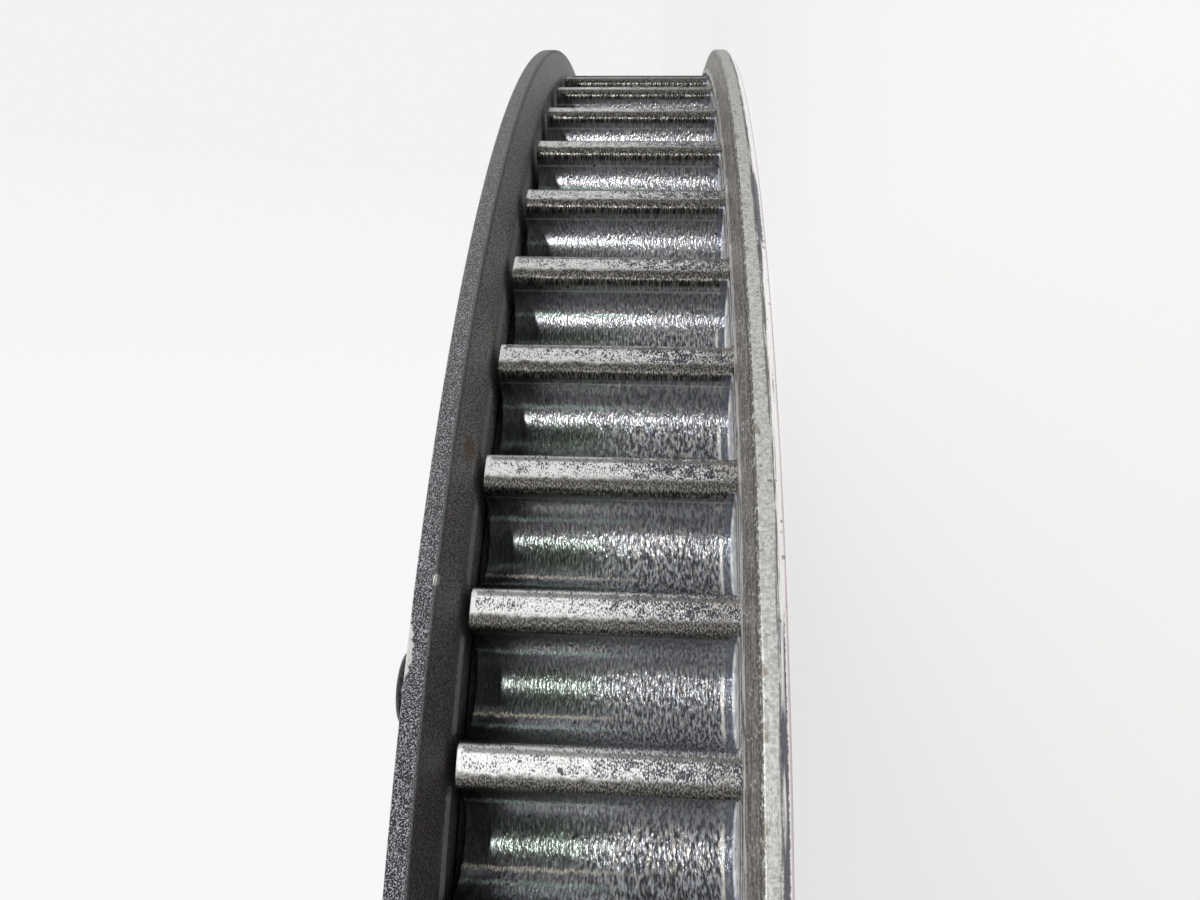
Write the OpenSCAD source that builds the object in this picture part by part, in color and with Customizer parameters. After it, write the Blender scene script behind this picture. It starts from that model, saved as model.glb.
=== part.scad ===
// Rear drive pulley for a toothed belt.
//
// A cast pulley with round-bottomed grooves, one flange cast on and one
// pressed steel flange ring screwed to its other face. It lies flat on the
// cast flange, with its axis along Z and z = 0 at that flange's outer face.

/* [Belt grooves] */
// Number of grooves round the rim
teeth = 70; // [60:1:80]
// Distance from groove to groove along the belt's cord line
pitch = 14; // [13:0.5:15]
// Height of the belt's cord line above the tops of the teeth
cord_height = 1.4; // [1:0.1:2]
// Width of a groove between its straight flanks
groove_width = 9.7; // [8:0.1:10]
// Depth of a groove below the tops of the teeth
groove_depth = 6.2; // [5.6:0.1:7]
// Radius on the long edges of each tooth
tooth_round = 1; // [0.5:0.1:1]
// Length of the teeth along the axle
face_width = 25; // [18:1:40]

/* [Cast flange] */
// How far both flanges stand above the tops of the teeth
flange_rise = 4.35; // [3:0.05:6]
// Thickness of the cast flange where it meets the teeth
flange_root = 3.7; // [3:0.1:6]
// Height of the grooves' ends above the foot of the cast flange's flare
groove_stop = 0.15; // [0.1:0.05:0.4]
// Thickness of the cast flange at its rim
flange_rim = 2.4; // [1.6:0.1:3]
// Height of the bevel round the cast flange's outer face
rim_bevel = 0.75; // [0.3:0.05:1.2]
// Depth of that bevel, measured towards the axle
rim_bevel_in = 0.5; // [0.3:0.05:1.2]

/* [Rim and web] */
// Wall of the rim below the bottoms of the grooves
rim_wall = 10.4; // [9:0.2:14]
// Height of the web's underside above the cast flange's outer face
web_base = 9; // [7:0.5:12]
// Thickness of the web and its spokes
web_thick = 10; // [8:0.5:12]
// Width of the web left round the hub and inside the rim
web_edge = 6; // [5:0.5:9]
// Radius of the fillets from the web to the hub and the rim
web_fillet = 4; // [2:0.5:4.5]
// Number of spokes
spokes = 5; // [4:1:6]
// Width of a spoke
spoke_width = 24; // [16:1:32]
// Radius of the corners of the windows between the spokes
window_round = 12; // [6:1:14]

/* [Hub] */
// Outer diameter of the hub
hub_diameter = 112; // [104:1:124]
// Height of the hub's lower face above the cast flange's outer face
hub_base = 4; // [1:0.5:4.5]
// Distance between the hub's two faces
hub_height = 20; // [19:0.5:24]
// Diameter of the bore through the hub
bore_diameter = 50.9; // [40:0.1:60]
// Chamfer at both ends of the bore
bore_chamfer = 1; // [0.5:0.1:2]
// Number of bolt holes in the hub
bolts = 5; // [3:1:6]
// Diameter of the circle through the bolt holes' centres
bolt_circle = 82.55; // [80:0.05:84]
// Diameter of each bolt hole
bolt_hole = 11.5; // [8:0.1:13]

/* [Flange ring] */
// Thickness of the ring's sheet
ring_thick = 2; // [1.5:0.1:3]
// Gap between the ring and the ends of the teeth
ring_gap = 0.9; // [0.4:0.1:2]
// Distance the ring's lip flares away from the teeth at its rim
ring_flare = 1.45; // [0.8:0.05:2]
// How far the ring's inner edge stays back from the inside of the rim
ring_setback = 0.8; // [0.4:0.1:1.5]
// Width of the ledge between the ring's seat and the grooves
seat_ledge = 0.8; // [0.4:0.1:1.5]

/* [Ring screws] */
// Number of screws that hold the ring
screws = 10; // [6:1:14]
// Distance from the bottoms of the grooves in to the screws' centres
screw_inset = 4.6; // [4.2:0.1:5]
// Diameter of the screws' threads
screw_diameter = 5; // [4:0.5:5]
// Length of the screws below their heads
screw_length = 14; // [10:1:18]
// Diameter of the screw heads
head_diameter = 8.4; // [7:0.1:9]
// Height of the screw heads
head_height = 5.2; // [3:0.1:6]
// Radius on the top edge of the screw heads
head_round = 1; // [0.4:0.1:1.2]
// Width across the flats of the hexagon socket in each head
socket_width = 4; // [3:0.5:4]
// Depth of that socket
socket_depth = 2.5; // [1.5:0.1:2.6]
// Clearance round a screw in the rim
thread_clearance = 0.05; // [0.02:0.01:0.1]
// Clearance round a screw in the ring
ring_clearance = 0.25; // [0.1:0.05:0.4]
// Space left below the end of each screw
hole_end = 1.5; // [0.5:0.5:3]

/* [Hidden] */
$fn = 180;
cut = 1;            // how far a cutter runs past the face it cuts
blend = 0.02;       // how far a rounding stops short of a smooth tangent

tip_r = pitch * teeth / (2 * PI) - cord_height;
root_r = tip_r - groove_depth;
flange_r = tip_r + flange_rise;
rim_r = root_r - rim_wall;
seat_r = root_r - seat_ledge;
hub_r = hub_diameter / 2;
bore_r = bore_diameter / 2;

teeth_end = flange_root + face_width;
seat_z = teeth_end + ring_gap;
ring_top = seat_z + ring_thick;
web_top = web_base + web_thick;
hub_top = hub_base + hub_height;

screw_r = root_r - screw_inset;
// A screw and a window both face the -Y side
first_angle = -90;

// The centre of the rounding on a tooth's edge, which runs into the tooth's
// top, and a point past the end of that rounding
shoulder_x = groove_width / 2 + tooth_round;
shoulder_y = sqrt(pow(tip_r + blend - tooth_round, 2) - pow(shoulder_x, 2));
shoulder_end = shoulder_x * tip_r / (tip_r - tooth_round);

// The outline of one groove, on the +Y side
module groove_outline() {
    half = groove_width / 2;
    bottom_y = root_r + half;
    translate([0, bottom_y]) circle(r = half);
    translate([-half, bottom_y]) square([2 * half, tip_r + cut - bottom_y]);
    for (side = [0, 1]) mirror([side, 0]) difference() {
        translate([half, shoulder_y])
            square([shoulder_end - half, tip_r + cut - shoulder_y]);
        translate([shoulder_x, shoulder_y]) circle(r = tooth_round);
    }
}

// All the grooves, from the cast flange's face out past the teeth's ends
module grooves() {
    for (i = [0 : teeth - 1])
        rotate(first_angle - 90 + 360 * i / teeth)
            translate([0, 0, flange_root + groove_stop])
                linear_extrude(height = face_width + cut) groove_outline();
}

// A concave fillet in the corner at [r, z], turned towards the axle where
// inwards is 1 and downwards where down is 1
module fillet(r, z, inwards, down) {
    translate([r, z]) mirror([inwards, 0]) mirror([0, down]) difference() {
        square(web_fillet);
        translate([web_fillet, web_fillet]) circle(r = web_fillet);
    }
}

// Half of the section through hub, web, rim and cast flange
module section() {
    polygon([
        [bore_r + bore_chamfer, hub_base],
        [hub_r, hub_base],
        [hub_r, web_base],
        [rim_r, web_base],
        [rim_r, 0],
        [flange_r - rim_bevel_in, 0],
        [flange_r, rim_bevel],
        [flange_r, flange_rim],
        [tip_r, flange_root],
        [tip_r, teeth_end],
        [seat_r, teeth_end],
        [seat_r, seat_z],
        [rim_r, seat_z],
        [rim_r, web_top],
        [hub_r, web_top],
        [hub_r, hub_top],
        [bore_r + bore_chamfer, hub_top],
        [bore_r, hub_top - bore_chamfer],
        [bore_r, hub_base + bore_chamfer],
    ]);
    fillet(hub_r, web_base, 0, 1);
    fillet(hub_r, web_top, 0, 0);
    fillet(rim_r, web_base, 1, 1);
    fillet(rim_r, web_top, 1, 0);
}

// What is left in a corner of a window outside its rounding. The corner is
// where the spoke's side meets the circle of radius r; way is 1 at the rim
// and -1 at the hub, and the spoke lies along the X axis.
module window_corner(r, way) {
    y = spoke_width / 2 + window_round;
    centre_r = r - way * (window_round - blend);
    x = sqrt(centre_r * centre_r - y * y);
    reach = (r + way * 2 * window_round) / centre_r;
    difference() {
        polygon([
            [x, y],
            [x, spoke_width / 2 - cut],
            [x * reach, spoke_width / 2 - cut],
            [x * reach, y * reach],
        ]);
        translate([x, y]) circle(r = window_round);
    }
}

// The window between two spokes, the first of them along the X axis
module window() {
    inner = hub_r + web_edge;
    outer = rim_r - web_edge;
    step = 360 / spokes;
    difference() {
        intersection() {
            difference() {
                circle(r = outer);
                circle(r = inner);
            }
            polygon(concat([[0, 0]], [
                for (a = [0, step / 2, step])
                    2 * outer * [cos(a), sin(a)]
            ]));
        }
        for (side = [0, 1])
            rotate(side * step) mirror([0, side]) {
                translate([0, -spoke_width / 2])
                    square([2 * outer, spoke_width]);
                window_corner(outer, 1);
                window_corner(inner, -1);
            }
    }
}

module windows() {
    for (i = [0 : spokes - 1])
        rotate(first_angle + 360 * (i - 0.5) / spokes)
            translate([0, 0, web_base - cut])
                linear_extrude(height = web_thick + 2 * cut) window();
}

module bolt_holes() {
    for (i = [0 : bolts - 1])
        rotate(first_angle + 360 * (i - 0.5) / bolts)
            translate([bolt_circle / 2, 0, hub_base - cut])
                cylinder(d = bolt_hole, h = hub_height + 2 * cut);
}

// Places a child at each of the ring's screws
module at_screws() {
    for (i = [0 : screws - 1])
        rotate(first_angle + 360 * i / screws)
            translate([screw_r, 0, 0]) children();
}

// The casting: grooved rim, cast flange, web with its spokes, and hub
module pulley_body() {
    color("#8b8d8a") difference() {
        rotate_extrude() section();
        grooves();
        windows();
        bolt_holes();
        at_screws() translate([0, 0, ring_top - screw_length - hole_end])
            cylinder(d = screw_diameter + 2 * thread_clearance,
                h = screw_length + hole_end);
    }
}

// The pressed steel ring: flat on its seat, with a lip that flares outwards
module flange_ring() {
    inner = rim_r + ring_setback;
    color("#2a2a2c") difference() {
        rotate_extrude() polygon([
            [inner, seat_z],
            [tip_r, seat_z],
            [flange_r, seat_z + ring_flare],
            [flange_r, ring_top + ring_flare],
            [tip_r, ring_top],
            [inner, ring_top],
        ]);
        at_screws() translate([0, 0, seat_z - cut])
            cylinder(d = screw_diameter + 2 * ring_clearance,
                h = ring_thick + 2 * cut);
    }
}

// The screws, with round-edged cylinder heads and hexagon sockets
module flange_screws() {
    head_r = head_diameter / 2;
    color("#1b1b1d") at_screws() translate([0, 0, ring_top]) difference() {
        union() {
            translate([0, 0, -screw_length])
                cylinder(d = screw_diameter, h = screw_length + cut);
            rotate_extrude() {
                square([head_r, head_height - head_round]);
                square([head_r - head_round, head_height]);
                translate([head_r - head_round, head_height - head_round])
                    circle(r = head_round);
            }
        }
        translate([0, 0, head_height - socket_depth])
            cylinder(d = socket_width / cos(30), h = socket_depth + cut,
                $fn = 6);
    }
}

pulley_body();
flange_ring();
flange_screws();
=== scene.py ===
import math

import bmesh
import bpy
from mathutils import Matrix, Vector


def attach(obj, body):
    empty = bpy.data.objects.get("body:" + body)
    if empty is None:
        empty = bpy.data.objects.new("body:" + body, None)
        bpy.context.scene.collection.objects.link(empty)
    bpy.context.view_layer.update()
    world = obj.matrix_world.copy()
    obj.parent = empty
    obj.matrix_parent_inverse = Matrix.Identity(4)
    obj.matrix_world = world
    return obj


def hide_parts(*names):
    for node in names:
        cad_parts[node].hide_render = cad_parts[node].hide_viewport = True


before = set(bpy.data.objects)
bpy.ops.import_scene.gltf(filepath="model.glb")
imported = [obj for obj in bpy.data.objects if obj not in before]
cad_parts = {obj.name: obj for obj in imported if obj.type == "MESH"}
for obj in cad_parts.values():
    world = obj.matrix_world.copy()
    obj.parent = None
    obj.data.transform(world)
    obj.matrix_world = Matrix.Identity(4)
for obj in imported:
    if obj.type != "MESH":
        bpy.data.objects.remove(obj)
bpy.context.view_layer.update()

# The toothed rim: the grooved face of the casting, with the flange that is
# cast on at its lower end and the turned seat for the flange ring at its
# upper end. One pitch of it is modelled and spun round the axle.
teeth, belt_pitch, cord_height = 70, 0.014, 0.0014
pitch_angle = math.tau / teeth
tip = teeth * belt_pitch / math.tau - cord_height
groove_half, groove_depth, shoulder = 0.00485, 0.0062, 0.001
groove_bottom = tip - groove_depth
groove_centre = groove_bottom + groove_half
flange_root, flange_rise, root_fillet = 0.0037, 0.00435, 0.00045
flange_edge = tip + flange_rise
teeth_top, teeth_middle, end_rounding = 0.0287, 0.016, 0.0002
seat_top, seat_ledge, rim_wall = 0.0296, 0.0008, 0.0104
seat = groove_bottom - seat_ledge
rim_inside = groove_bottom - rim_wall
web_middle = 0.014

# places this close are welded to one, and places this close pass as alike
touching, alike = 0.00001, 0.00003


def begin(name, primitive, **size):
    """Adds a primitive by itself and opens it for editing."""
    bpy.ops.object.select_all(action="DESELECT")
    primitive(**size)
    piece = bpy.context.object
    piece.name = piece.data.name = name
    bpy.ops.object.transform_apply(location=True, rotation=True, scale=True)
    bpy.ops.object.mode_set(mode="EDIT")
    return piece


def pick(kind, where):
    """Selects what has all its corners at places that pass the test."""
    bpy.ops.mesh.select_mode(type=kind)
    bpy.ops.mesh.select_all(action="DESELECT")
    mesh = bpy.context.edit_object.data
    bm = bmesh.from_edit_mesh(mesh)
    if kind == "VERT":
        for v in bm.verts:
            v.select_set(where(v.co))
    else:
        for part in bm.edges if kind == "EDGE" else bm.faces:
            part.select_set(all(where(v.co) for v in part.verts))
    bm.select_flush_mode()
    bmesh.update_edit_mesh(mesh)
    return [v.co.copy() for v in bm.verts if v.select]


def radius(p):
    return math.hypot(p.x, p.y)


def near(a, b, slack=touching):
    return abs(a - b) < slack


def lift(height):
    bpy.ops.transform.translate(value=(0, 0, height))


def widen(scale, centre=(0, 0, 0)):
    bpy.ops.transform.resize(value=(scale, scale, 1), center_override=centre)


def draw_to(r_from, r_to):
    """Draws a line from the selected point, straight out from the axle."""
    bpy.ops.mesh.extrude_vertices_move()
    widen(r_to / r_from)


def trail(r, z, *stops):
    """Draws the selected edges out from ring r, z to each further ring."""
    for r_next, z_next in stops:
        bpy.ops.mesh.extrude_edges_move()
        widen(r_next / r)
        lift(z_next - z)
        r, z = r_next, z_next


def arc(angle, steps, centre=(0, 0, 0)):
    """Draws the selection round, anticlockwise seen from above."""
    bpy.ops.mesh.spin(steps=steps, angle=-angle, center=centre, axis=(0, 0, 1))


def repeat_round(count):
    """Copies the selection to the other places round the axle."""
    bpy.ops.mesh.spin(steps=count, angle=math.tau, dupli=True,
                      center=(0, 0, 0), axis=(0, 0, 1))


def weld():
    bpy.ops.mesh.remove_doubles(threshold=touching)


def close_up():
    """Welds the piece to one skin that faces outwards, and leaves it."""
    bpy.ops.mesh.select_all(action="SELECT")
    weld()
    bpy.ops.mesh.normals_make_consistent(inside=False)
    bpy.ops.object.mode_set(mode="OBJECT")


# the groove's round bottom, its straight flanks and half a land at each side
rim = begin("toothed_rim", bpy.ops.mesh.primitive_circle_add, vertices=56,
            radius=groove_half, location=(0, -groove_centre, 0))
bpy.ops.mesh.bisect(plane_co=(0, -groove_centre, 0), plane_no=(0, 1, 0),
                    clear_inner=True)
pick("VERT", lambda p: near(p.y, -groove_centre))
corner = math.sqrt(tip ** 2 - groove_half ** 2)
bpy.ops.mesh.extrude_vertices_move(TRANSFORM_OT_translate={
    "value": (0, groove_centre - corner, 0)})
bpy.ops.mesh.extrude_vertices_move()
bpy.ops.transform.resize(
    value=(tip * math.sin(pitch_angle / 2) / groove_half, 1, 1),
    center_override=(0, 0, 0))
bpy.ops.transform.translate(
    value=(0, corner - tip * math.cos(pitch_angle / 2), 0))
pick("VERT", lambda p: near(abs(p.x), groove_half) and p.y < -groove_centre - alike)
bpy.ops.mesh.bevel(offset=shoulder, offset_type="OFFSET", segments=5,
                   affect="VERTICES")
bpy.ops.mesh.select_all(action="SELECT")
lift(teeth_top - end_rounding)
for upper, lower in ((teeth_top - end_rounding, teeth_middle),
                     (teeth_middle, flange_root + root_fillet)):
    bpy.ops.mesh.extrude_edges_move(
        TRANSFORM_OT_translate={"value": (0, 0, lower - upper)})
bpy.ops.mesh.select_all(action="SELECT")
bpy.ops.mesh.normals_make_consistent(inside=False)
land = min(bmesh.from_edit_mesh(rim.data).faces,
           key=lambda f: f.calc_center_median().y)
if land.normal.y > 0:
    bpy.ops.mesh.flip_normals()


def roll(z, size, way):
    """Rounds the drawn-out edge at z: the next rings turn off the profile."""
    steps = 3
    for i in range(steps):
        a, b = (math.pi / 2 * k / steps for k in (i, i + 1))
        pick("VERT", lambda p: near(p.z, z))
        bpy.ops.mesh.extrude_edges_move()
        rise = way * size * (math.sin(b) - math.sin(a))
        lift(rise)
        bpy.ops.transform.shrink_fatten(
            value=-way * size * (math.cos(a) - math.cos(b)),
            use_even_offset=True)
        z += rise
    return z


wall_z = roll(flange_root + root_fillet, root_fillet, -1)
end_z = roll(teeth_top - end_rounding, end_rounding, 1)

# the foot of the cast flange's flare, drawn as an arc over the groove's mouth
foot = tip + root_fillet
land_half = tip * math.sin(pitch_angle / 2) - groove_half
start = pick("VERT", lambda p: near(p.z, wall_z) and radius(p) > foot - alike
             and groove_half < -p.x < groove_half + 0.8 * land_half)[0]
mouth_angle = math.atan2(-start.x, -start.y)
mouth_steps = 6
arc(2 * mouth_angle, mouth_steps)
pick("VERT", lambda p: near(p.z, wall_z) and abs(p.x) < -start.x + alike)
weld()
bpy.ops.mesh.edge_face_add()
# the flare with its rounded edge, the band and the bevel, each as a distance
# in from the flange's edge and a height, then the rim's inside likewise
pick("VERT", lambda p: near(p.z, wall_z) and radius(p) > foot - alike)
trail(foot, wall_z,
      *[(flange_edge - back, z) for back, z in (
          (0.0003, 0.00249), (0.00009, 0.00239), (0, 0.0022), (0, 0.0009),
          (0.00006, 0.0007), (0.00044, 0.00012), (0.00062, 0))],
      *[(rim_inside + out, z) for out, z in (
          (0.0008, 0), (0.00023, 0.00023), (0, 0.0008), (0, web_middle))])
# the teeth's end face, down to the ring's seat
end_tip = tip - end_rounding
pick("VERT", lambda p: near(p.z, end_z)
     and near(p.x, -end_tip * math.sin(pitch_angle / 2), alike))
draw_to(end_tip, seat)
for turn, steps in ((pitch_angle / 2 - mouth_angle, 1),
                    (2 * mouth_angle, mouth_steps),
                    (pitch_angle / 2 - mouth_angle, 1)):
    arc(turn, steps)
pick("VERT", lambda p: near(p.z, end_z))
bpy.ops.mesh.edge_face_add()
seat_rounding, rim_rounding = 0.0002, 0.0005
pick("VERT", lambda p: near(p.z, end_z) and near(radius(p), seat, alike))
trail(seat, end_z,
      (seat, seat_top - seat_rounding), (seat - seat_rounding, seat_top),
      (rim_inside + rim_rounding, seat_top), (rim_inside, seat_top - rim_rounding),
      (rim_inside, web_middle))
bpy.ops.mesh.select_all(action="SELECT")
repeat_round(teeth)
close_up()

# what the finishes are made with: sizes in millimetres, and nodes for sums
mm = 1000


def finish(name):
    """Starts a finish; the nodes that follow belong to it."""
    global tree, surface
    made = bpy.data.materials.new(name)
    made.use_nodes = True
    tree = made.node_tree
    surface = tree.nodes["Principled BSDF"].inputs
    return made


def give(socket, value):
    if isinstance(value, bpy.types.NodeSocket):
        tree.links.new(value, socket)
    else:
        socket.default_value = value


def add(kind, *feeds, **settings):
    """Adds a node. Feeds go to its first inputs, settings to what they name."""
    made = tree.nodes.new("ShaderNode" + kind)
    for name, value in settings.items():
        if name in made.inputs:
            give(made.inputs[name], value)
        else:
            setattr(made, name, value)
    for socket, value in zip(made.inputs, feeds):
        give(socket, value)
    return made.outputs[0]


def calc(operation, *feeds):
    return add("Math", *feeds, operation=operation)


def unless(part):
    """1 where the part is 0, and 0 where it is 1."""
    return calc("SUBTRACT", 1, part)


def ease(value, low, high):
    """0 below low and 1 above high, or the other way where high is lower."""
    if low > high:
        return unless(ease(value, high, low))
    return add("MapRange", value, low, high, interpolation_type="SMOOTHSTEP")


def times(first, *rest):
    for value in rest:
        first = calc("MULTIPLY", first, value)
    return first


def plus(first, *rest):
    for value in rest:
        first = calc("ADD", first, value)
    return first


def between(value, start, full, fading, end):
    """1 from full to fading, and 0 before start and after end."""
    return times(ease(value, start, full), ease(value, end, fading))


def around(value, middle, far, close):
    """1 closer than close to the middle, and 0 further than far from it."""
    return ease(calc("ABSOLUTE", plus(value, -middle)), far, close)


def blend(part, first, second):
    """Two colours, each a node's or red, green and blue."""
    first, second = (c if isinstance(c, bpy.types.NodeSocket) else (*c, 1)
                     for c in (first, second))
    return add("MixRGB", part, first, second)


def places():
    """Object coordinates in millimetres, with radius, height and angle."""
    spot = add("VectorMath", tree.nodes.new("ShaderNodeTexCoord").outputs["Object"],
               operation="SCALE", Scale=mm)
    apart = tree.nodes.new("ShaderNodeSeparateXYZ")
    give(apart.inputs[0], spot)
    x, y, z = apart.outputs
    r = calc("SQRT", plus(times(x, x), times(y, y)))
    return spot, r, z, calc("ARCTAN2", y, x)


def speckle(spot, scale, detail=2, rough=0.5):
    return add("TexNoise", Vector=spot, Scale=scale, Detail=detail, Roughness=rough)


def streaks(a, b, c, detail=2):
    """Speckle drawn out along the axis whose feed changes least."""
    return speckle(add("CombineXYZ", a, b, c), 1, detail, 0.6)


def dent(height, deepest):
    """Bump whose height runs from 0 to deepest, in metres."""
    give(surface["Normal"], add("Bump", Height=height, Distance=deepest, Strength=1))


def groove_places(r, angle):
    """Each groove's number, and the distance across it from its middle."""
    pitches = calc("DIVIDE", plus(angle, math.pi / 2), pitch_angle)
    number = calc("ROUND", pitches)
    return number, times(calc("SUBTRACT", pitches, number), pitch_angle, r)


# As cast, where nothing rubs or is turned, with painted black shade in the slot
# between the teeth's ends and the ring
casting = finish("plain_casting")
cast_dark, cast_light, slot_shade_black = (0.3, 0.3, 0.295), (0.43, 0.43, 0.42), (0.018, 0.017, 0.018)
spot, r, z, _ = places()
grain = speckle(spot, 1.6, 3, 0.6)
colour = blend(ease(grain, 0.3, 0.7), cast_dark, cast_light)
# painted shade: black in the narrow slot beside the ring
in_shaded_slot = times(ease(z, 28.5, 28.65), ease(r, 146.5, 146.8))
give(surface["Base Color"], blend(in_shaded_slot, colour, slot_shade_black))
surface["Metallic"].default_value = 0.5
give(surface["Roughness"], plus(0.42, times(grain, 0.2)))
dent(grain, 0.0002)

# What the belt runs on: bright speckled lands with painted shade on their lower
# shoulder, and dark grooves with short streaks that its teeth have rubbed round
# them, with painted reflection lines along their sides and painted shade towards the ring
belt_face = finish("worn_belt_face")
spot, r, z, angle = places()
number, across = groove_places(r, angle)
deep = calc("SUBTRACT", tip * mm, r)
turned = calc("ARCTAN2", across, calc("SUBTRACT", groove_centre * mm, r))
along = times(turned, groove_half * mm)
from_flank = calc("SUBTRACT", calc("ABSOLUTE", across), groove_half * mm)
on_land = ease(deep, 0.5, 0.05)
in_groove = unless(on_land)
upper_side = ease(across, 0, -1)
lower_side = ease(across, 0, 1)


def rubbed(up, round_groove, apart, detail=2):
    """Streaks in the grooves, by how finely they vary up, round and between."""
    return streaks(times(z, up), times(along, round_groove), times(number, apart), detail)


grit = streaks(times(z, 6.5), times(across, 3.8), times(number, 5.1))
coarse = speckle(spot, 0.9, 3, 0.6)
ripples = rubbed(3.8, 1.4, 1.7, detail=1)
rubs = rubbed(4.6, 1.6, 7.3)
hairs = rubbed(8, 2.4, 3.1)
scratches = rubbed(4.8, 1.3, 2.3, detail=1)
hues = rubbed(2.4, 0.8, 5.7)

# where each wear lies, by height in millimetres and by the groove's bend
broken = times(ease(z, 22, 12), plus(0.3, times(ease(turned, 0.6, 0.2), 0.7)))
run_in = ease(z, 26.5, 25)
wall = ease(z, 4, 3.85)
beside_wall = times(ease(z, 4.7, 4.55), in_groove)
edge_rub = times(ease(z, 4.62, 4.75), ease(plus(z, times(hues, 0.6)), 5.4, 5.2),
                 between(turned, -1.2, -0.7, 0.2, 0.6), in_groove)
pits = ease(speckle(spot, 1.2, 1), 0.26, 0.22)
green = times(ease(calc("ABSOLUTE", turned), 0.7, 0.2), ease(z, 12, 20))

# the lands: speckled, with painted shade under their upper shoulder and a
# painted highlight near the middle of their lower half, bare at the ring's end
# and browned at the other
land_dark, land_light = (0.065, 0.065, 0.085), (0.98, 0.99, 0.97)
land_shade_grey, bare_end, brown = (0.16, 0.16, 0.15), (0.95, 0.96, 0.94), (0.24, 0.21, 0.17)
# painted highlight: the speckle turns lighter near the middle of the lower half
crest_highlight = times(lower_side, ease(from_flank, 2, 1.3))
land_tone = plus(times(grit, 0.8), times(coarse, 0.45), times(crest_highlight, 0.05),
                 times(ease(z, 8, 22), 0.1))
land_colour = blend(ease(land_tone, 0.58, 0.75), land_dark, land_light)
# painted shade: a darker band under the upper shoulder
shade_under_shoulder = times(upper_side, between(from_flank, 0.45, 0.7, 0.9, 1.15), 0.75)
land_colour = blend(shade_under_shoulder, land_colour, land_shade_grey)
land_end = times(ease(plus(z, grit), 28.5, 28.8), on_land)
land_colour = blend(land_end, land_colour, bare_end)
browned = times(ease(z, 9, 4), ease(coarse, 0.4, 0.6), 0.55)
land_colour = blend(browned, land_colour, brown)

# the grooves: smooth and greenish near the ring, streaked and bluish beyond
violet_grey, sea_grey = (0.33, 0.305, 0.35), (0.34, 0.365, 0.36)
warm_grey, cold_grey, bottle_green = (0.29, 0.28, 0.285), (0.29, 0.31, 0.345), (0.12, 0.14, 0.12)
oil, straw, steel = (0.05, 0.05, 0.055), (0.76, 0.73, 0.65), (0.7, 0.73, 0.79)
pale_green, ring_shade_black = (0.5, 0.68, 0.57), (0.03, 0.028, 0.035)
groove_colour = blend(ease(hues, 0.4, 0.6), violet_grey, sea_grey)
broken_colour = blend(ease(hues, 0.42, 0.58), warm_grey, cold_grey)
groove_colour = blend(broken, groove_colour, broken_colour)
groove_colour = blend(green, groove_colour, bottle_green)
dark_streaks = times(ease(scratches, 0.47, 0.42), plus(0.35, times(broken, 0.5)))
groove_colour = blend(dark_streaks, groove_colour, oil)
bright_streaks = times(ease(scratches, 0.54, 0.59), plus(0.2, times(broken, 0.5)))
streak_colour = blend(ease(plus(hues, times(turned, -0.08)), 0.46, 0.56), straw, steel)
streak_colour = blend(green, streak_colour, pale_green)
groove_colour = blend(bright_streaks, groove_colour, streak_colour)
# painted shade: the grooves grow darker towards the ring
groove_colour = blend(times(ease(z, 20, 27), 0.55), groove_colour, ring_shade_black)

# painted reflections: thin wavy light lines along the grooves' sides, and one under the land's edge
warm_reflection_white, green_reflection_white, reflection_grey = (0.75, 0.7, 0.58), (0.5, 0.65, 0.58), (0.6, 0.61, 0.59)
lines = times(ease(plus(z, times(hues, 8)), 13, 24), ease(hairs, 0.4, 0.54))
wavy = plus(calc("ABSOLUTE", turned), times(hues, 0.12), times(coarse, 0.1))
warm_reflection = times(lines, ease(turned, 0.2, -0.2), around(wavy, 0.63, 0.07, 0.01))
pale_reflection = times(lines, around(wavy, 0.9, 0.09, 0.01), 0.8)
groove_colour = blend(warm_reflection, groove_colour, warm_reflection_white)
groove_colour = blend(pale_reflection, groove_colour, green_reflection_white)
land_edge_reflection = times(lower_side, around(deep, 2.1, 0.2, 0.08), 0.6)
groove_colour = blend(land_edge_reflection, groove_colour, reflection_grey)
colour = blend(on_land, groove_colour, land_colour)

# painted shade on the lower shoulder, the grooves' ends at the cast flange, and pits over all
shoulder_shade_dark, shoulder_shade_light, end_blue = (0.04, 0.038, 0.033), (0.27, 0.26, 0.23), (0.2, 0.22, 0.27)
rubbed_white, pit_black = (0.93, 0.92, 0.86), (0.03, 0.03, 0.025)
wall_grey, wall_white, wall_stain = (0.6, 0.61, 0.65), (0.97, 0.97, 0.96), (0.3, 0.27, 0.25)
ragged = plus(from_flank, times(coarse, -1.6), times(grit, -1))
# painted shade on each land's lower shoulder, speckled dark and light
shaded_shoulder = times(lower_side, ease(ragged, 0.35, -0.2), ease(deep, 1.6, 1))
colour = blend(shaded_shoulder, colour, blend(ease(grit, 0.46, 0.6), shoulder_shade_dark, shoulder_shade_light))
colour = blend(times(beside_wall, 0.7), colour, end_blue)
colour = blend(edge_rub, colour, rubbed_white)
wall_colour = blend(ease(coarse, 0.4, 0.6), wall_grey, wall_white)
wall_colour = blend(times(between(deep, 0.8, 1.2, 2.2, 2.8), 0.8), wall_colour, wall_stain)
colour = blend(times(wall, in_groove), colour, wall_colour)
colour = blend(times(pits, 0.85), colour, pit_black)
give(surface["Base Color"], colour)
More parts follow.
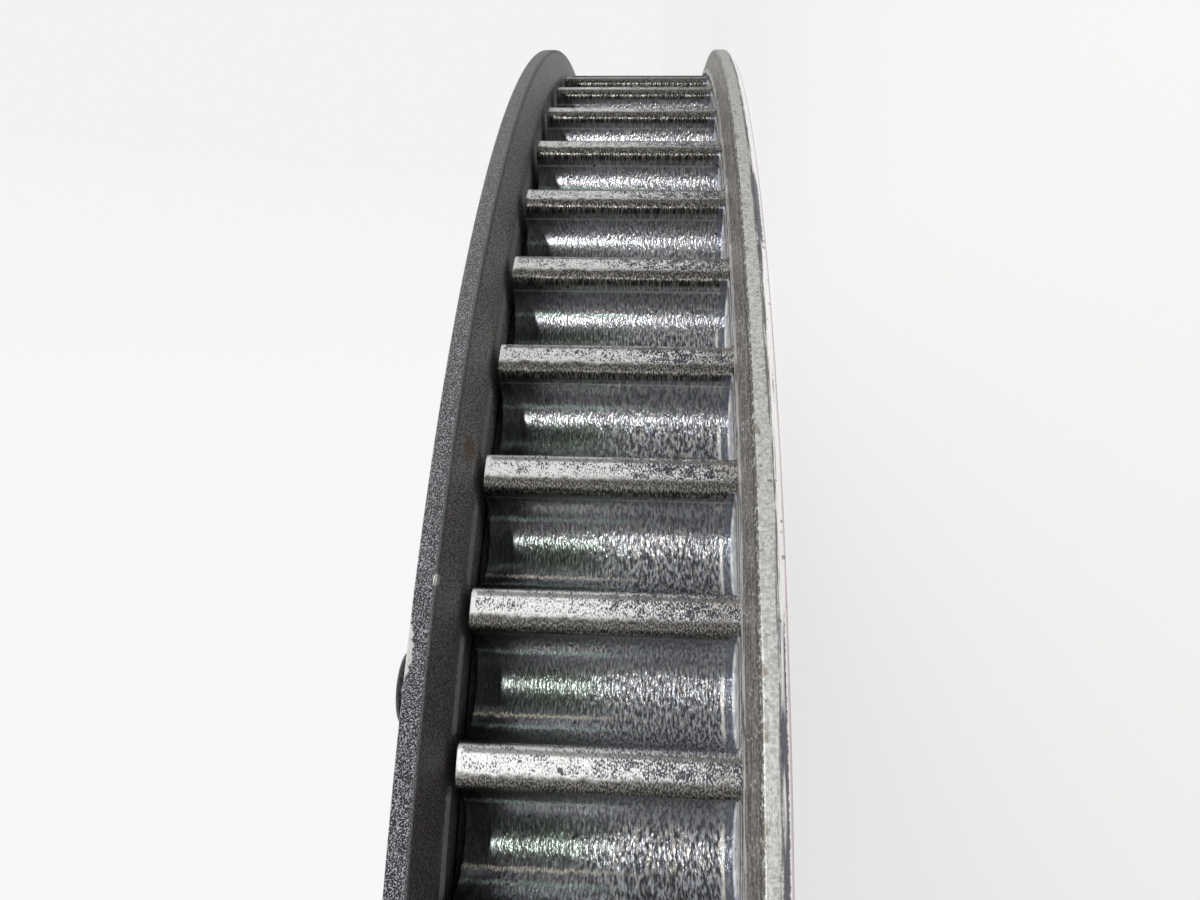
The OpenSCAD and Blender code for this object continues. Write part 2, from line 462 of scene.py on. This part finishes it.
# the painted reflection lines are made less metallic
in_reflection_line = calc("MAXIMUM", warm_reflection, pale_reflection)
groove_metal = plus(0.54, times(broken, -0.28), times(wall, -0.5), times(in_reflection_line, -0.25))
give(surface["Metallic"], plus(0.4, times(in_groove, groove_metal)))
give(surface["Roughness"], plus(0.26, times(on_land, 0.3), times(wall, 0.25), times(edge_rub, 0.2),
                                times(hairs, 0.06), times(broken, in_groove, 0.08)))
surface["Anisotropic"].default_value = 0.4
give(surface["Tangent"], add("CombineXYZ", 0, 0, 1))
groove_dents = plus(times(rubs, plus(0.4, times(broken, 1.2))),
                    times(hairs, plus(0.3, times(broken, 0.1))),
                    times(ripples, plus(0.8, times(broken, 1.6))))
dent(plus(times(in_groove, run_in, groove_dents), times(on_land, grit, 1.3)), 0.00008)

# The cast flange: its lip rubbed by the belt's edge, its band pale and pitted,
# and its bevel polished, with bare dark patches at the photographed side
flange_finish = finish("rubbed_flange")
spot, r, z, angle = places()
rubs = streaks(times(angle, 40), times(r, 5), times(z, 5), 3)
grit = speckle(spot, 3, 3, 0.6)
pits = ease(speckle(spot, 1.3, 2), 0.33, 0.28)
patches = plus(streaks(times(angle, 9), times(r, 0.5), times(z, 0.5)),
               times(ease(angle, -1.48, -1.55), -0.15))
on_lip = ease(z, 2.48, 2.62)
on_bevel = ease(z, 0.85, 0.7)

# the band, and the lip from its dark outer corner in to its foot, which has a painted highlight
band_dark, band_light, stain = (0.5, 0.51, 0.48), (0.86, 0.87, 0.825), (0.25, 0.2, 0.14)
lip_dark, lip_light, corner_dark = (0.15, 0.138, 0.123), (0.42, 0.395, 0.365), (0.1, 0.09, 0.085)
lip_spark, foot_highlight = (0.8, 0.78, 0.74), (0.8, 0.78, 0.77)
colour = blend(ease(grit, 0.3, 0.7), band_dark, band_light)
lip = blend(ease(plus(times(rubs, 0.5), times(grit, 0.5)), 0.4, 0.6), lip_dark, lip_light)
lip = blend(times(ease(grit, 0.62, 0.68), 0.8), lip, lip_spark)
# painted highlight: a streaky light strip along the lip's foot
at_foot_highlight = ease(plus(r, times(rubs, 0.5)), 156.1, 155.8)
lip = blend(times(at_foot_highlight, ease(rubs, 0.38, 0.5)), lip, foot_highlight)
colour = blend(on_lip, colour, lip)
at_corner = times(between(z, 2.3, 2.42, 2.62, 2.75), ease(grit, 0.6, 0.5))
colour = blend(times(at_corner, 0.8), colour, corner_dark)
stained = times(ease(speckle(spot, 0.6, 4, 0.7), 0.55, 0.63),
                ease(plus(z, times(grit, 0.8)), 2.1, 2.5), unless(on_lip), 0.7)
colour = blend(stained, colour, stain)

# the bevel, its bare patches and the broken line along its upper edge
bevel_white, bevel_pink, bare = (1, 0.985, 0.975), (0.7, 0.61, 0.6), (0.17, 0.17, 0.2)
edge_dark, pit_brown = (0.08, 0.075, 0.085), (0.1, 0.09, 0.08)
bevel = blend(ease(plus(z, times(patches, 0.3)), 0.38, 0.24), bevel_white, bevel_pink)
colour = blend(on_bevel, colour, bevel)
is_bare = times(between(plus(z, times(grit, 0.4)), 0.48, 0.62, 1.08, 1.2), ease(patches, 0.46, 0.4))
colour = blend(is_bare, colour, bare)
wander = plus(z, times(patches, 0.9), -0.42)
edge_line = times(between(wander, 0.68, 0.8, 1, 1.15), ease(rubs, 0.42, 0.5))
colour = blend(times(edge_line, 0.75), colour, edge_dark)
colour = blend(times(pits, 0.6), colour, pit_brown)
give(surface["Base Color"], colour)
give(surface["Metallic"], plus(0.2, times(on_bevel, 0.8)))
give(surface["Roughness"], plus(0.38, times(grit, 0.2), times(on_bevel, -0.25)))
dent(plus(grit, rubs), 0.00004)

margin = 0.0001
for look in (casting, belt_face, flange_finish):
    rim.data.materials.append(look)
for face in rim.data.polygons:
    r_face, z_face = radius(face.center), face.center.z
    if (r_face > groove_bottom - margin
            and flange_root - margin < z_face < teeth_top - touching):
        face.material_index = rim.data.materials.find(belt_face.name)
    elif r_face > tip and z_face < flange_root:
        face.material_index = rim.data.materials.find(flange_finish.name)


def settle(piece, sharp, node):
    """Shades a finished piece and puts it on the model in its node's place."""
    bpy.ops.object.select_all(action="DESELECT")
    piece.select_set(True)
    bpy.context.view_layer.objects.active = piece
    bpy.ops.object.shade_smooth_by_angle(angle=math.radians(sharp))
    bpy.ops.object.modifier_add(type="WEIGHTED_NORMAL")
    piece.modifiers[-1].keep_sharp = True
    bpy.ops.object.modifier_apply(modifier=piece.modifiers[-1].name)
    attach(piece, "root")
    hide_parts(node)


settle(rim, 35, "pulley_body")

# The web, its five spokes and the hub: the rest of the same casting, with its
# machined bore and bolt holes, all given the plain cast finish. A tenth of its
# upper half is modelled, and the rest follows by mirror and spin.
spokes, spoke_half = 5, 0.012
web_top, web_fillet, web_edge = 0.019, 0.004, 0.006
hub, hub_top, hub_rounding, hub_corner = 0.056, 0.024, 0.0007, 0.0002
bore, bore_chamfer = 0.02545, 0.001
bolt_ring, bolt_hole, hole_chamfer = 0.041275, 0.00575, 0.0005
window_round, window_rounding = 0.012, 0.0011
window_in, window_out = hub + web_edge, rim_inside - web_edge
web_in, web_out = hub + web_fillet, rim_inside - web_fillet
fillet_end, into_rim = 0.0004, 0.001
tenth = math.pi / spokes

# the outline of a quarter of a window, and the web's face round it
web = begin("web_and_hub", bpy.ops.mesh.primitive_plane_add, size=0.001,
            location=(window_out * math.cos(tenth),
                      window_out * math.sin(tenth), web_top))
bpy.ops.mesh.merge(type="CENTER")
corner_y = spoke_half + window_round
outer = math.asin(corner_y / (window_out - window_round))
inner = math.asin(corner_y / (window_in + window_round))
outer_x = (window_out - window_round) * math.cos(outer)
inner_x = (window_in + window_round) * math.cos(inner)
arc(outer - tenth, 12)
arc(-math.pi / 2 - outer, 9, (outer_x, corner_y, 0))
bpy.ops.mesh.extrude_vertices_move(TRANSFORM_OT_translate={
    "value": (inner_x - outer_x, 0, 0)})
arc(inner - math.pi / 2, 7, (inner_x, corner_y, 0))
arc(tenth - inner, 6)
draw_to(window_in, web_in)
arc(-tenth, 18)
draw_to(web_in, web_out)
arc(tenth, 30)
draw_to(web_out, window_out)
bpy.ops.mesh.select_all(action="SELECT")
weld()
bpy.ops.mesh.edge_face_add()


def at_window(p):
    return web_in + touching < radius(p) < web_out - touching


pick("VERT", at_window)
bpy.ops.mesh.extrude_edges_move(TRANSFORM_OT_translate={
    "value": (0, 0, web_middle - web_top)})
pick("VERT", lambda p: near(p.z, web_top) and at_window(p))
bpy.ops.mesh.bevel(offset=window_rounding, segments=3)

# the fillets, the hub's edge and its flat face with half a bolt hole
fillet_turn = [math.radians(18 * i) for i in range(1, 6)]
pick("VERT", lambda p: near(p.z, web_top) and near(radius(p), web_in))
trail(web_in, web_top,
      *[(web_in - web_fillet * math.sin(a), web_top + web_fillet * (1 - math.cos(a)))
        for a in fillet_turn],
      (hub, hub_top - hub_rounding), (hub - hub_corner, hub_top - hub_corner),
      (hub - hub_rounding, hub_top))
pick("VERT", lambda p: near(p.z, hub_top) and near(math.atan2(p.y, p.x), tenth, 0.001))
draw_to(hub - hub_rounding, bore + bore_chamfer)
arc(-tenth, 18)
hole_mouth = bolt_hole + hole_chamfer
draw_to(bore + bore_chamfer, bolt_ring - hole_mouth)
arc(-math.pi, 16, (bolt_ring, 0, 0))
draw_to(bolt_ring + hole_mouth, hub - hub_rounding)
pick("VERT", lambda p: near(p.z, hub_top))
weld()
bpy.ops.mesh.edge_face_add()
pick("VERT", lambda p: near(p.z, hub_top)
     and near(math.hypot(p.x - bolt_ring, p.y), hole_mouth))
for scale, fall in ((bolt_hole / hole_mouth, hole_chamfer),
                    (1, hub_top - hole_chamfer - web_middle)):
    bpy.ops.mesh.extrude_edges_move()
    widen(scale, (bolt_ring, 0, 0))
    lift(-fall)
pick("VERT", lambda p: near(p.z, hub_top) and near(radius(p), bore + bore_chamfer))
trail(bore + bore_chamfer, hub_top, (bore, hub_top - bore_chamfer), (bore, web_middle))
pick("VERT", lambda p: near(p.z, web_top) and near(radius(p), web_out))
outer_fillet = web_fillet + 0.0001
trail(web_out, web_top,
      *[(web_out + outer_fillet * math.sin(a), web_top + outer_fillet * (1 - math.cos(a)))
        for a in fillet_turn[:-1]],
      (rim_inside + fillet_end, web_top + web_fillet),
      (rim_inside + into_rim, web_top + web_fillet),
      (rim_inside + into_rim, web_middle))
for axis in ("z", "y"):
    bpy.ops.mesh.select_all(action="SELECT")
    bpy.ops.mesh.duplicate()
    bpy.ops.transform.mirror(
        constraint_axis=(False, axis == "y", axis == "z"),
        center_override=(0, 0, web_middle))
bpy.ops.mesh.select_all(action="SELECT")
bpy.ops.transform.rotate(value=-tenth / 2, orient_axis="Z",
                         center_override=(0, 0, 0))
repeat_round(spokes)
close_up()
web.data.materials.append(casting)
settle(web, 30, "pulley_body")

# The flange ring: 2 mm sheet steel, pressed with a lip that flares outwards,
# blanked with ten screw holes and coated black. It lies on the turned seat,
# 0.9 mm clear of the teeth's ends.
ring_setback, sheet, lip_rise = 0.0008, 0.002, 0.00145
ring_inside = rim_inside + ring_setback
bend_rounding, edge_rounding = 0.0005, 0.0003
screws, screw_inset, screw_hole = 10, 0.0046, 0.00275
screw_ring = groove_bottom - screw_inset

ring = begin("pressed_ring", bpy.ops.mesh.primitive_plane_add, size=sheet,
             location=(ring_inside + sheet / 2, 0, seat_top + sheet / 2),
             rotation=(math.pi / 2, 0, 0))
pick("VERT", lambda p: p.x > ring_inside + sheet / 2)
bpy.ops.transform.translate(value=(tip - ring_inside - sheet, 0, 0))
bpy.ops.mesh.extrude_edges_move(TRANSFORM_OT_translate={
    "value": (flange_edge - tip, 0, lip_rise)})
pick("EDGE", lambda p: near(p.x, tip))
bpy.ops.mesh.dissolve_edges(use_verts=False)
for where, size, steps in ((lambda p: near(p.x, tip), bend_rounding, 3),
                           (lambda p: p.x > tip + sheet, edge_rounding, 3),
                           (lambda p: near(p.x, ring_inside), edge_rounding, 2)):
    pick("VERT", where)
    bpy.ops.mesh.bevel(offset=size, segments=steps, affect="VERTICES")
bpy.ops.mesh.select_all(action="SELECT")
bpy.ops.mesh.delete(type="ONLY_FACE")
bpy.ops.mesh.select_all(action="SELECT")
arc(math.tau, 8 * teeth)
close_up()
punch = begin("punch", bpy.ops.mesh.primitive_cylinder_add, vertices=32,
              radius=screw_hole, depth=2 * sheet,
              location=(0, -screw_ring, seat_top + sheet / 2))
repeat_round(screws)
bpy.ops.mesh.select_all(action="SELECT")
weld()
bpy.ops.object.mode_set(mode="OBJECT")


def cut(piece, cutter):
    """Takes one piece out of another, and removes it."""
    bpy.ops.object.select_all(action="DESELECT")
    bpy.context.view_layer.objects.active = piece
    bpy.ops.object.modifier_add(type="BOOLEAN")
    piece.modifiers[-1].object = cutter
    piece.modifiers[-1].solver = "EXACT"
    bpy.ops.object.modifier_apply(modifier=piece.modifiers[-1].name)
    bpy.data.objects.remove(cutter)


cut(ring, punch)


def toward(places, direction):
    """How far a place or a direction lies along another direction."""
    product = tree.nodes.new("ShaderNodeVectorMath")
    product.operation = "DOT_PRODUCT"
    give(product.inputs[0], places)
    give(product.inputs[1], direction)
    return product.outputs["Value"]


def mark(spot, centre, size, ragged):
    """1 inside a ragged oval patch, from its centre and half sizes in mm."""
    offset = add("VectorMath", spot, centre, operation="SUBTRACT")
    scaled = add("VectorMath", offset, tuple(1 / s for s in size), operation="MULTIPLY")
    reach = tree.nodes.new("ShaderNodeVectorMath")
    reach.operation = "LENGTH"
    give(reach.inputs[0], scaled)
    return ease(plus(reach.outputs["Value"], ragged), 1.1, 0.9)


# what is up, away from the camera and left in the photograph, for the painted
# sheen here and for the floor and lamp
up, away, left = Vector((0.90397, -0.427596, 0)), Vector((0.427596, 0.90397, 0)), Vector((0, 0, 1))

# The coat: coarse black grains, bright with salt on the ring's rim, and a
# painted sheen higher up
coat = finish("black_coat")
lip_dark, lip_light = (0.022, 0.019, 0.02), (0.24, 0.21, 0.207)
sheen_lip_dark, sheen_lip_light = (0.2, 0.19, 0.19), (1, 0.97, 0.96)
rim_black, sheen_rim = (0.02, 0.02, 0.021), (0.07, 0.068, 0.07)
salt_white, sheen_salt, corner_grey = (0.62, 0.62, 0.68), (0.52, 0.51, 0.55), (0.24, 0.24, 0.25)
spot, r, z, angle = places()
across = groove_places(r, angle)[1]
grains = speckle(spot, 7.5, 2, 0.6)
fine = speckle(spot, 6, 2)
ragged = plus(times(speckle(spot, 2, 2), 1.6), -0.8)
# painted sheen: the lip and rim turn lighter, and the salt greyer, where the ring faces up
painted_sheen = ease(toward(spot, up), 52, 105)
on_rim = ease(r, 158.3, 158.9)
lip = blend(ease(fine, 0.42, 0.62), lip_dark, lip_light)
lip = blend(painted_sheen, lip, blend(ease(fine, 0.4, 0.62), sheen_lip_dark, sheen_lip_light))
colour = blend(on_rim, lip, blend(painted_sheen, rim_black, sheen_rim))
salt = times(ease(grains, 0.51, 0.58), on_rim)
colour = blend(salt, colour, blend(painted_sheen, salt_white, sheen_salt))
inner_corner = times(ease(r, 158.5, 158.7), between(z, 30.9, 31, 31.15, 31.3))
colour = blend(times(inner_corner, 0.6), colour, corner_grey)

# its worn edge over each groove, a rust spot and two chips
worn_white, rust_brown, chip_white = (0.97, 0.97, 1), (0.42, 0.25, 0.13), (0.96, 0.96, 0.93)
facing_teeth = times(ease(z, 29.9, 29.8), ease(r, 150.9, 151.2),
                     ease(plus(r, times(ragged, 1.2)), 153.4, 152.9))
from_middle = calc("ABSOLUTE", across)
worn = times(facing_teeth, ease(plus(from_middle, times(ragged, 2)), 4.8, 3.9),
             ease(fine, 0.26, 0.44), plus(0.75, times(ease(from_middle, 2.2, 3.8), 0.25)))
colour = blend(worn, colour, worn_white)
rust = mark(spot, (22.3, -154.6, 30.1), (1.3, 1.5, 0.5), ragged)
colour = blend(times(rust, ease(fine, 0.44, 0.56)), colour, rust_brown)
chips = calc("MAXIMUM", mark(spot, (8.6, -158.6, 31.08), (0.55, 1.4, 0.27), times(ragged, 0.3)),
             mark(spot, (2.5, -159, 33.05), (2.7, 1.2, 0.6), times(ragged, 0.9)))
colour = blend(chips, colour, chip_white)
give(surface["Base Color"], colour)
give(surface["Roughness"], plus(0.34, times(grains, 0.25)))
surface["Sheen Weight"].default_value = 0.25
surface["Sheen Roughness"].default_value = 0.4
dent(times(grains, plus(0.2, times(on_rim, 0.8))), 0.00025)
ring.data.materials.append(coat)
settle(ring, 30, "flange_ring")

# The ring's screws: ten cap screws with plain round heads and hexagon
# sockets, blackened steel, turned home into blind holes in the rim.
head, head_height, head_rounding, head_base = 0.0042, 0.0052, 0.001, seat_top + sheet
under_rounding, shank, shank_length, shank_chamfer = 0.00015, 0.0025, 0.0134, 0.0006
socket_half, socket_depth, socket_chamfer = 0.002, 0.0025, 0.0002
head_top = head_base + head_height

screw = begin("ring_screw_01", bpy.ops.mesh.primitive_cylinder_add,
              vertices=48, radius=head, depth=head_height,
              location=(0, -screw_ring, head_base + head_height / 2))
pick("VERT", lambda p: near(p.z, head_top))
bpy.ops.mesh.bevel(offset=head_rounding, segments=4)
pick("VERT", lambda p: near(p.z, head_base))
bpy.ops.mesh.bevel(offset=under_rounding, segments=1)
pick("FACE", lambda p: near(p.z, head_base))
bpy.ops.mesh.inset(thickness=head - under_rounding - shank)
for fall, scale in ((shank_length, 1), (shank_chamfer, 0.78)):
    bpy.ops.mesh.extrude_region_move(TRANSFORM_OT_translate={
        "value": (0, 0, -fall)})
    widen(scale, (0, -screw_ring, 0))
bpy.ops.object.mode_set(mode="OBJECT")
socket = begin("socket", bpy.ops.mesh.primitive_cylinder_add, vertices=6,
               radius=socket_half / math.cos(math.pi / 6), depth=2 * socket_depth,
               location=(0, -screw_ring, head_top))
pick("VERT", lambda p: p.z < head_top)
bpy.ops.mesh.bevel(offset=socket_chamfer, segments=1)
bpy.ops.object.mode_set(mode="OBJECT")
cut(screw, socket)

oxide = finish("blackened_steel")
oxide_dark, oxide_light = (0.02, 0.02, 0.022), (0.06, 0.06, 0.07)
spot = places()[0]
grain = speckle(spot, 2.5, 2)
give(surface["Base Color"], blend(ease(grain, 0.4, 0.65), oxide_dark, oxide_light))
surface["Metallic"].default_value = 0.6
give(surface["Roughness"], plus(0.25, times(grain, 0.2)))
dent(grain, 0.00003)
screw.data.materials.clear()
screw.data.materials.append(oxide)

# each further screw goes to its own place, its socket turned as it stopped
all_screws = [screw]
for i in range(1, screws):
    bpy.ops.object.select_all(action="DESELECT")
    screw.select_set(True)
    bpy.context.view_layer.objects.active = screw
    bpy.ops.object.duplicate()
    another = bpy.context.object
    another.name = another.data.name = f"ring_screw_{i + 1:02d}"
    bpy.ops.object.mode_set(mode="EDIT")
    bpy.ops.mesh.select_all(action="SELECT")
    for turn, centre in ((i * 1.7, (0, -screw_ring, 0)),
                         (i * math.tau / screws, (0, 0, 0))):
        bpy.ops.transform.rotate(value=turn, orient_axis="Z",
                                 center_override=centre)
    bpy.ops.object.mode_set(mode="OBJECT")
    all_screws.append(another)
for one in all_screws:
    settle(one, 30, "flange_screws")

# The photograph's camera, low beside the rim and turned on its side
camera = bpy.data.objects.new("camera", bpy.data.cameras.new("camera"))
bpy.context.scene.collection.objects.link(camera)
bpy.context.scene.camera = camera
camera.data.lens, camera.data.sensor_width = 26.079, 36
camera.data.clip_start = 0.005
camera.location = (-0.0051783, -0.2349866, 0.0122726)
camera.rotation_euler = [math.radians(turn) for turn in (157.9849, 86.4397, 48.9069)]

# The plain pale floor that the pulley lies on. It glows for the camera, metal
# and glass alone, and keeps the pulley's shadow.
bpy.ops.mesh.primitive_plane_add(size=6, location=(0, 0, -0.00005))
floor = bpy.context.object
floor.name = "floor"
pale = finish("pale_floor")


def seen():
    """1 for what the camera, metal and glass see, 0 for soft light."""
    path = tree.nodes.new("ShaderNodeLightPath").outputs
    return calc("MAXIMUM", calc("MAXIMUM", path["Is Camera Ray"], path["Is Glossy Ray"]),
                path["Is Transmission Ray"])


high = toward(tree.nodes.new("ShaderNodeTexCoord").outputs["Object"], up)
surface["Base Color"].default_value = (0.12, 0.118, 0.113, 1)
surface["Roughness"].default_value = 0.9
surface["Specular IOR Level"].default_value = 0
surface["Emission Color"].default_value = (1, 1, 1, 1)
floor_glow = plus(0.69, times(ease(high, 0.07, 0.106), 0.12))
give(surface["Emission Strength"], times(seen(), floor_glow))
floor.data.materials.append(pale)

# One small lamp, further back than the camera and aimed at the grooves that
# it sees
lamp = bpy.data.objects.new("front_lamp", bpy.data.lights.new("front_lamp", "SPOT"))
bpy.context.scene.collection.objects.link(lamp)
lamp.data.shadow_soft_size = 0.0035
lamp.data.spot_size = math.radians(54)
lamp.data.spot_blend = 0.5
lamp.data.energy = 2.25
lamp.location = up * 0.136 - away * 0.37 + left * 0.1432
lit_place = up * 0.085 - away * 0.115 + left * 0.016
lamp.rotation_euler = (lamp.location - lit_place).to_track_quat("Z", "Y").to_euler()
lamp.visible_camera = False

# A dark card behind the camera and the lamp, which the lands and grooves
# mirror, and a white room all round
bpy.ops.mesh.primitive_plane_add(size=4, location=-0.75 * away,
                                 rotation=(math.pi / 2, 0, math.radians(-25.315)))
card = bpy.context.object
card.name = "grey_card"
card.visible_camera = False
grey = finish("grey_card")
surface["Base Color"].default_value = (0.03, 0.03, 0.03, 1)
surface["Roughness"].default_value = 0.9
surface["Specular IOR Level"].default_value = 0
card.data.materials.append(grey)
world = bpy.data.worlds.new("room")
bpy.context.scene.world = world
world.use_nodes = True
tree = world.node_tree
room = tree.nodes["Background"].inputs
room["Color"].default_value = (1, 1, 1, 1)
high = toward(tree.nodes.new("ShaderNodeTexCoord").outputs["Generated"], up)
soft_room = (0.6, 0.6, 0.6)
pale_room = plus(0.895, times(ease(high, 0.19, 0.18), 0.015), times(ease(high, 0.2, -0.1), 0.025))
give(room["Strength"], blend(seen(), soft_room, pale_room))
bpy.context.scene.view_settings.view_transform = "Standard"
